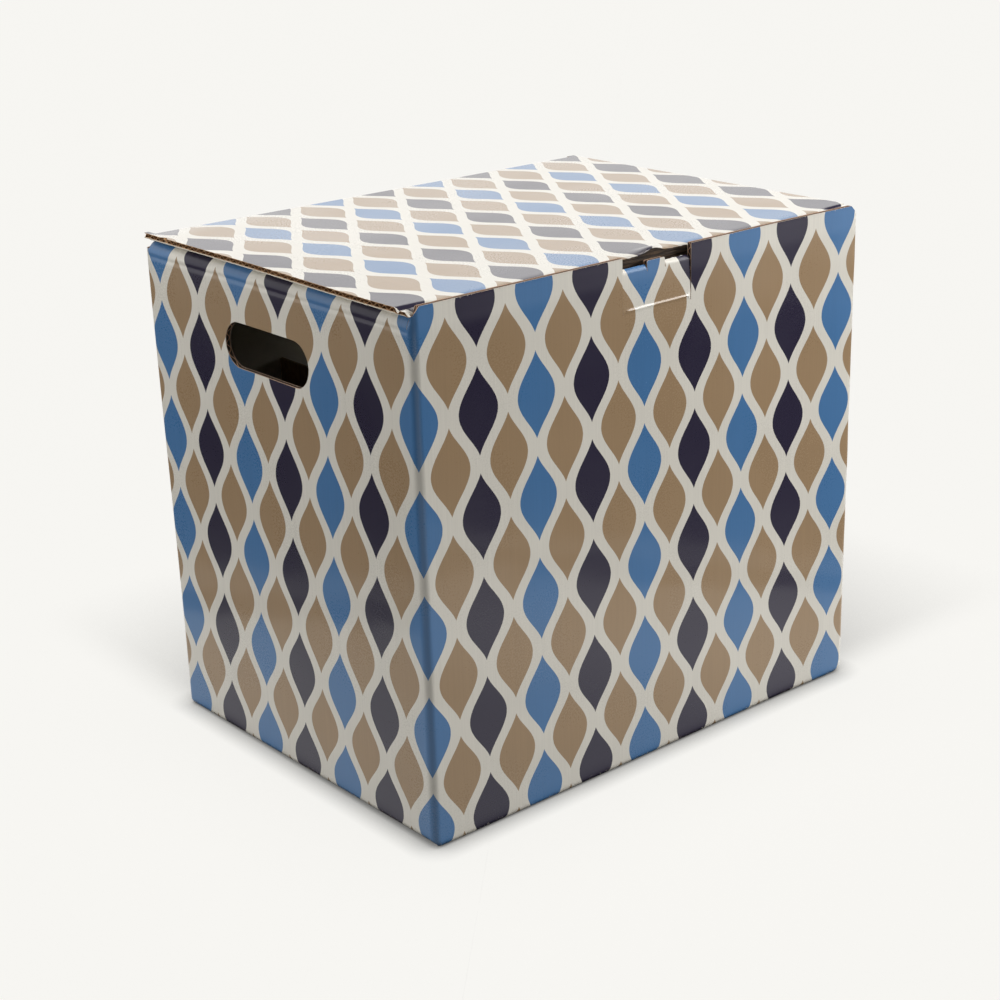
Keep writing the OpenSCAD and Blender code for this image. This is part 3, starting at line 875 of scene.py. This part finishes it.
# finish of a sheet's outside, inside and cut edge, by place in the board's materials
BOARD_FINISH = (0, 1, 2)
board_materials = [printed_varnish, white_liner, cut_edge]
hand_holes = [hand_hole(on_left(HOLE_Y), True), hand_hole(on_right(HOLE_Y), False)]
carton_cut = cut_blank([carton_outline()] + hand_holes, carton_grids())
carton_sheet = sheet(carton_cut, fold_carton, 0.0, BOARD, BOARD_FINISH, carton_uv)
carton_board = board_object("carton_board", [carton_sheet], board_materials)
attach(carton_board, "carton")
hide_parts("carton_body")


# ---- cutting the lid ----
def lid_uv(x, v):
    """The print runs on from the back wall over its fold and along the lid."""
    return np.stack([on_back(x), HINGE_Z + HINGE_R * QUARTER + (HINGE_Y - v)], 1)


def ragged(points, size, seed):
    """Small unevenness of a cut."""
    return [(x + size * math.sin(1.9 * v + seed) * math.sin(0.53 * v + 2 * seed), v) for x, v in points]


def lid_outline(inset, chip):
    """Outline of one layer of the lid; chip is the small tear in the left edge of the top liner."""
    half, ear, flap_low = LID_HALF - inset, FOLD_Y - EAR + inset, FLAP_V - FLAP_LEN + inset
    back = HINGE_Y
    right = [(IN_X - inset, back), (IN_X + 0.4, back), (IN_X + 0.7, back + 2.9 - inset),
             (half - 0.3, back + 2.7 - inset)]
    right += ragged([(half, v) for v in steps(back + 1, FOLD_Y + 3, 2.0)], 0.16, 1.0 + inset)
    flap = [(TUCK_HALF + 0.5, FOLD_Y - 4.6), (TUCK_HALF, FOLD_Y - 4.6), (TUCK_HALF - 1, FLAP_V - 4),
            (TUCK_HALF - 1.5, flap_low + TUCK_CORNER), (TUCK_HALF - TUCK_CORNER, flap_low)]
    left = [(-x, v) for x, v in right + [(half, FOLD_Y), (half - 0.4, ear), (TUCK_HALF + 0.6, ear)] + flap]
    # the right front corner is worn off, behind the wall's cut corner
    right = [p for p in right if p[0] < half - 1 or p[1] > FOLD_Y + 7]
    right += [(half - 0.5, FOLD_Y + 4), (half - 2.0, FOLD_Y + 0.5), (half - 4.5, FOLD_Y - 2.2),
              (TUCK_HALF + 0.6, FOLD_Y - 3.6)] + flap
    if chip:
        y = HINGE_Y - 21.0
        left = [p for p in left if not (p[0] < -half + 1 and abs(p[1] - y) < 4)]
        at = next(k for k, p in enumerate(left) if p[0] < -half + 1 and p[1] < y)
        left[at:at] = [(deep - half, y + up) for deep, up in ((0, 3.6), (1.3, 2.2), (1.7, -0.4), (0.3, -2.2))]
    return right + left[::-1]


def slot_outline(hang, torn):
    """The slot in the front fold that the lock tab's shoulders enter; a torn layer hangs into it."""
    half = TAB_HALF + SLOT_ROOM
    edge = SLOT_V0 - hang
    points = [(TAB_X - half, SLOT_V1), (TAB_X + half, SLOT_V1), (TAB_X + half, edge - 1.0)]
    for x in steps(half - 0.5, -half + 0.5, 1.5):
        points.append((TAB_X + x, edge + torn * math.sin(1.3 * x + hang) * math.sin(0.37 * x + 1) - 0.2))
    return points + [(TAB_X - half, edge - 1.0)]


def lid_grids(step_v):
    """Grid lines of the lid, closer at its ends and its front fold, and a finer grid at the lip."""
    ends = [LID_HALF - 0.6] + steps(LID_HALF - 1.2, 163, 1.0) + steps(162, 146, 3.0)
    lines_x = [-e for e in ends] + steps(-146, 146, 12) + ends
    lines_v = steps(FLAP_V - FLAP_LEN, FLAP_V - 1, step_v) + steps(FLAP_V, FOLD_Y, 0.6)
    lines_v += steps(FOLD_Y, FOLD_Y + 14, min(step_v, 0.7)) + steps(FOLD_Y + 14, HINGE_Y, step_v)
    lip_x = steps(TAB_X - 42, TAB_X + 40, 1.4)
    lip_v = steps(FLAP_V - 3, FOLD_Y + 17, 0.65)
    return [(lines_x, lines_v), (lip_x, lip_v)]


def flute_depth(x, v):
    """Depth in the board of the fluted paper's middle."""
    swing = BOARD / 2 - 1.5 * LINER
    return BOARD / 2 + swing * np.sin(2 * math.pi * v / FLUTE_PITCH)


# top liner, fluted paper, inner liner: set back, chipped, how far it hangs into the slot, how torn it is there,
# step of the grid, outer and inner depth in the board, finish of outside, inside and cut edge
lid_layers = []
for inset, chip, hang, torn, step_v, outer, inner, finishes in (
        (0.0, True, 0.0, 0.25, 9.0, 0.0, LINER, (0, 3, 3)),
        (0.25, False, 1.3, 0.5, FLUTE_PITCH / 10, lambda x, v: flute_depth(x, v) - LINER / 2,
         lambda x, v: flute_depth(x, v) + LINER / 2, (3, 3, 3)),
        (-0.2, False, 8.4, 0.5, 9.0, BOARD - 0.6, BOARD, (3, 1, 1))):
    cut = cut_blank([lid_outline(inset, chip), slot_outline(hang, torn)], lid_grids(step_v))
    lid_layers.append(sheet(cut, fold_lid, outer, inner, finishes, lid_uv))
lid_board = board_object("lid_board", lid_layers, board_materials + [fluted_paper])
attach(lid_board, "lid")
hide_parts("lid")


# ---- back fold, the strip of board between the back wall and the lid ----
def hinge_uv(p, q):
    """The print runs on from the back wall."""
    return np.stack([on_back(-p), HINGE_Z + q], 1)


hinge_run = HINGE_R * QUARTER
hinge_cut = cut_blank([[(-IN_X, 0.0), (IN_X, 0.0), (IN_X, hinge_run), (-IN_X, hinge_run)]],
                      [(steps(-IN_X, IN_X, 9), steps(0, hinge_run, 0.5))])
hinge_sheet = sheet(hinge_cut, fold_hinge, 0.0, BOARD, BOARD_FINISH, hinge_uv)
back_fold = board_object("back_fold", [hinge_sheet], board_materials)
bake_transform(back_fold)

# ---- dividers keep their CAD shape ----
for name in DIVIDERS:
    node = frame["nodes"][name]
    node.data.materials.clear()
    node.data.materials.append(divider_card)
    soft = node.modifiers.new("worn_edges", "BEVEL")
    soft.width, soft.segments, soft.limit_method = 0.3 * MM, 2, "ANGLE"


# ---- floor, light and camera ----
PALE = (0.94, 0.932, 0.900, 1.0)
FLOOR_HALF = 40.0
CONTACT_REACH, SHADOW_REACH, SHADOW_SAMPLES = 0.016, 0.22, 8
SEEN_SHARE = 0.835  # how much of the floor that the camera sees is plain pale colour
# the table that the varnish reflects, by distance from the carton's middle line
TABLE_ACROSS, TABLE_SHIFT = (0.80, -0.60, 0.0), 0.005
TABLE_LIT, TABLE_EDGE, STUDIO = (0.348, 0.366), (0.384, 0.398, 0.42, 0.48), (0.45, 0.95)


def make_floor():
    """Pale table: the camera sees its colour and a shadow, the varnish reflects it as a lit strip."""
    mesh = bpy.data.meshes.new("studio_floor")
    corners = [(x * FLOOR_HALF, y * FLOOR_HALF, 0) for x, y in ((-1, -1), (1, -1), (1, 1), (-1, 1))]
    mesh.from_pydata(corners, [], [(0, 1, 2, 3)])
    floor = bpy.data.objects.new("studio_floor", mesh)
    bpy.context.scene.collection.objects.link(floor)
    material, g, bsdf = new_material("floor_paper")
    path = g.node("ShaderNodeLightPath").outputs
    place = g.node("ShaderNodeNewGeometry").outputs["Position"]
    # a grey floor throws less light back onto the walls than the pale one that the camera sees
    g.give(bsdf.inputs["Base Color"], g.mix(path["Is Diffuse Ray"], PALE, (0.40, 0.40, 0.39, 1)))
    bsdf.inputs["Roughness"].default_value = 1.0
    bsdf.inputs["Specular IOR Level"].default_value = 0.0

    def open_share(reach):
        made = g.node("ShaderNodeAmbientOcclusion", {"Distance": reach}, samples=SHADOW_SAMPLES)
        return made.outputs["AO"]

    # a dark line where the carton stands, and a soft shadow behind it and on its right
    contact = open_share(CONTACT_REACH)
    at = g.split(place)
    back = g.math("MULTIPLY", g.ramp(at[1], (HALF_W - 12) * MM, (HALF_W + 4) * MM),
                  g.ramp(at[0], (-HALF_L - 22) * MM, (-HALF_L + 22) * MM))
    right = g.math("MULTIPLY", g.ramp(at[0], (HALF_L - 12) * MM, (HALF_L + 4) * MM),
                   g.ramp(at[1], (-HALF_W - 14) * MM, (-HALF_W + 30) * MM))
    wide = open_share(SHADOW_REACH)
    shade = g.math("MULTIPLY", g.math("SUBTRACT", 1.0, wide), g.math("MAXIMUM", back, right))
    open_floor = g.math("MULTIPLY", contact, g.math("SUBTRACT", 1.0, shade))
    colour = g.mix(open_floor, (0.0, 0.0, 0.0, 1), (1.0, 0.991, 0.958, 1))
    seen = g.node("ShaderNodeEmission", {"Color": colour})
    shown = g.node("ShaderNodeMixShader", {0: g.math("MULTIPLY", path["Is Camera Ray"], SEEN_SHARE),
                                           1: bsdf.outputs[0], 2: seen.outputs[0]})
    # what the varnish reflects: a lit strip of table with a dark gap, a lit edge, and the dim studio beside it
    crossing = g.node("ShaderNodeVectorMath", {0: place, 1: TABLE_ACROSS}, operation="DOT_PRODUCT")
    across = crossing.outputs["Value"]
    away = g.math("ABSOLUTE", g.math("ADD", across, TABLE_SHIFT))
    edge = g.band(away, *TABLE_EDGE, 0.70)
    table = g.math("MAXIMUM", g.ramp(away, *TABLE_LIT, 1.0, 0.0), edge)
    table = g.math("MAXIMUM", table, g.ramp(away, *STUDIO, 0.18, 0.07))
    strip = g.math("MULTIPLY", table, g.ramp(across, 0.10, 0.25, 0.60, 0.88))
    strip = g.math("MULTIPLY", strip, g.ramp(contact, 0.45, 0.95))
    glow = g.node("ShaderNodeEmission", {"Color": PALE, "Strength": strip})
    mixed = g.node("ShaderNodeMixShader", {0: path["Is Glossy Ray"], 1: shown.outputs[0], 2: glow.outputs[0]})
    g.give(material.node_tree.nodes["Material Output"].inputs["Surface"], mixed.outputs[0])
    mesh.materials.append(material)


def place_lamp(name, lamp, place, aim):
    """A lamp at a place, turned to face along aim."""
    lamp.color = (1.0, 0.99, 0.97)
    made = bpy.data.objects.new(name, lamp)
    made.location = place
    made.rotation_euler = Vector(aim).to_track_quat("-Z", "Z").to_euler()
    made.visible_camera = False
    bpy.context.scene.collection.objects.link(made)
    return made


def make_light():
    """Dim studio, a broad light from above, a soft box on each side, and one behind for the lid's sheen."""
    world = bpy.data.worlds.new("studio")
    world.use_nodes = True
    bpy.context.scene.world = world
    g = Shader(world.node_tree)
    for node in list(world.node_tree.nodes):
        world.node_tree.nodes.remove(node)
    lit = g.node("ShaderNodeBackground", {"Color": (1.0, 0.99, 0.97, 1.0), "Strength": 0.12})
    seen = g.node("ShaderNodeBackground", {"Color": PALE, "Strength": 1.0})
    path = g.node("ShaderNodeLightPath").outputs["Is Camera Ray"]
    mixed = g.node("ShaderNodeMixShader", {0: path, 1: lit.outputs[0], 2: seen.outputs[0]})
    g.give(g.node("ShaderNodeOutputWorld").inputs["Surface"], mixed.outputs[0])
    top = bpy.data.lights.new("top_light", "SUN")
    top.energy, top.angle = 1.5, math.radians(40)
    place_lamp("top_light", top, (0, 0, 3), (0.02, 0.03, -1.0))
    faces = bpy.data.collections.new("carton_faces")
    for piece in (carton_board, lid_board, back_fold):
        faces.objects.link(piece)
    left_aim = (0.88, -0.90, -0.45)
    for name, size, energy, place, aim in (
            ("right_box", (0.8, 0.9), 16.2, (1.00, -0.74, 0.66), (-1.00, 0.74, -0.42)),
            ("left_box", (1.7, 1.3), 5.0, (-0.88, 0.90, 0.70), left_aim),
            ("left_fill", (1.7, 1.3), 9.2, (-0.92, 0.94, 0.72), left_aim),
            ("back_box", (4.0, 2.2), 27.0, (1.0, 1.9, 1.15), (-0.46, -0.88, -0.25))):
        box = bpy.data.lights.new(name, "AREA")
        box.shape, box.energy = "RECTANGLE", energy
        box.size, box.size_y = size
        lamp = place_lamp(name, box, place, aim)
        # the back box shows only in the varnish, and the fill only in the plain light
        lamp.visible_diffuse = name != "back_box"
        lamp.visible_glossy = name != "left_fill"
        lamp.light_linking.receiver_collection = faces


# the photo's camera: azimuth, elevation and roll, then focal length and width in pixels
CAMERA_TURN = (-39.63, 20.27, 1.69)
CAMERA_PLACE = (-0.7585, -0.9041, 0.5695)
CAMERA_FOCAL, PHOTO_WIDTH = 1934.7, 1000.0


def make_camera():
    """Camera at the photo's place."""
    azimuth, elevation, roll = (math.radians(a) for a in CAMERA_TURN)
    back = Vector((math.sin(azimuth) * math.cos(elevation), -math.cos(azimuth) * math.cos(elevation),
                   math.sin(elevation)))
    right = (-back).cross(Vector((0, 0, 1))).normalized()
    down = (-back).cross(right)
    turned_right = math.cos(roll) * right + math.sin(roll) * down
    turned_down = -math.sin(roll) * right + math.cos(roll) * down
    data = bpy.data.cameras.new("camera")
    data.sensor_width = 36.0
    data.lens = CAMERA_FOCAL * data.sensor_width / PHOTO_WIDTH
    data.clip_start, data.clip_end = 0.05, 200.0
    camera = bpy.data.objects.new("camera", data)
    turn = Matrix((turned_right, -turned_down, back)).transposed()
    camera.matrix_world = Matrix.Translation(CAMERA_PLACE) @ turn.to_4x4()
    bpy.context.scene.collection.objects.link(camera)
    bpy.context.scene.camera = camera


make_floor()
make_light()
make_camera()
bpy.context.scene.view_settings.view_transform = "Standard"
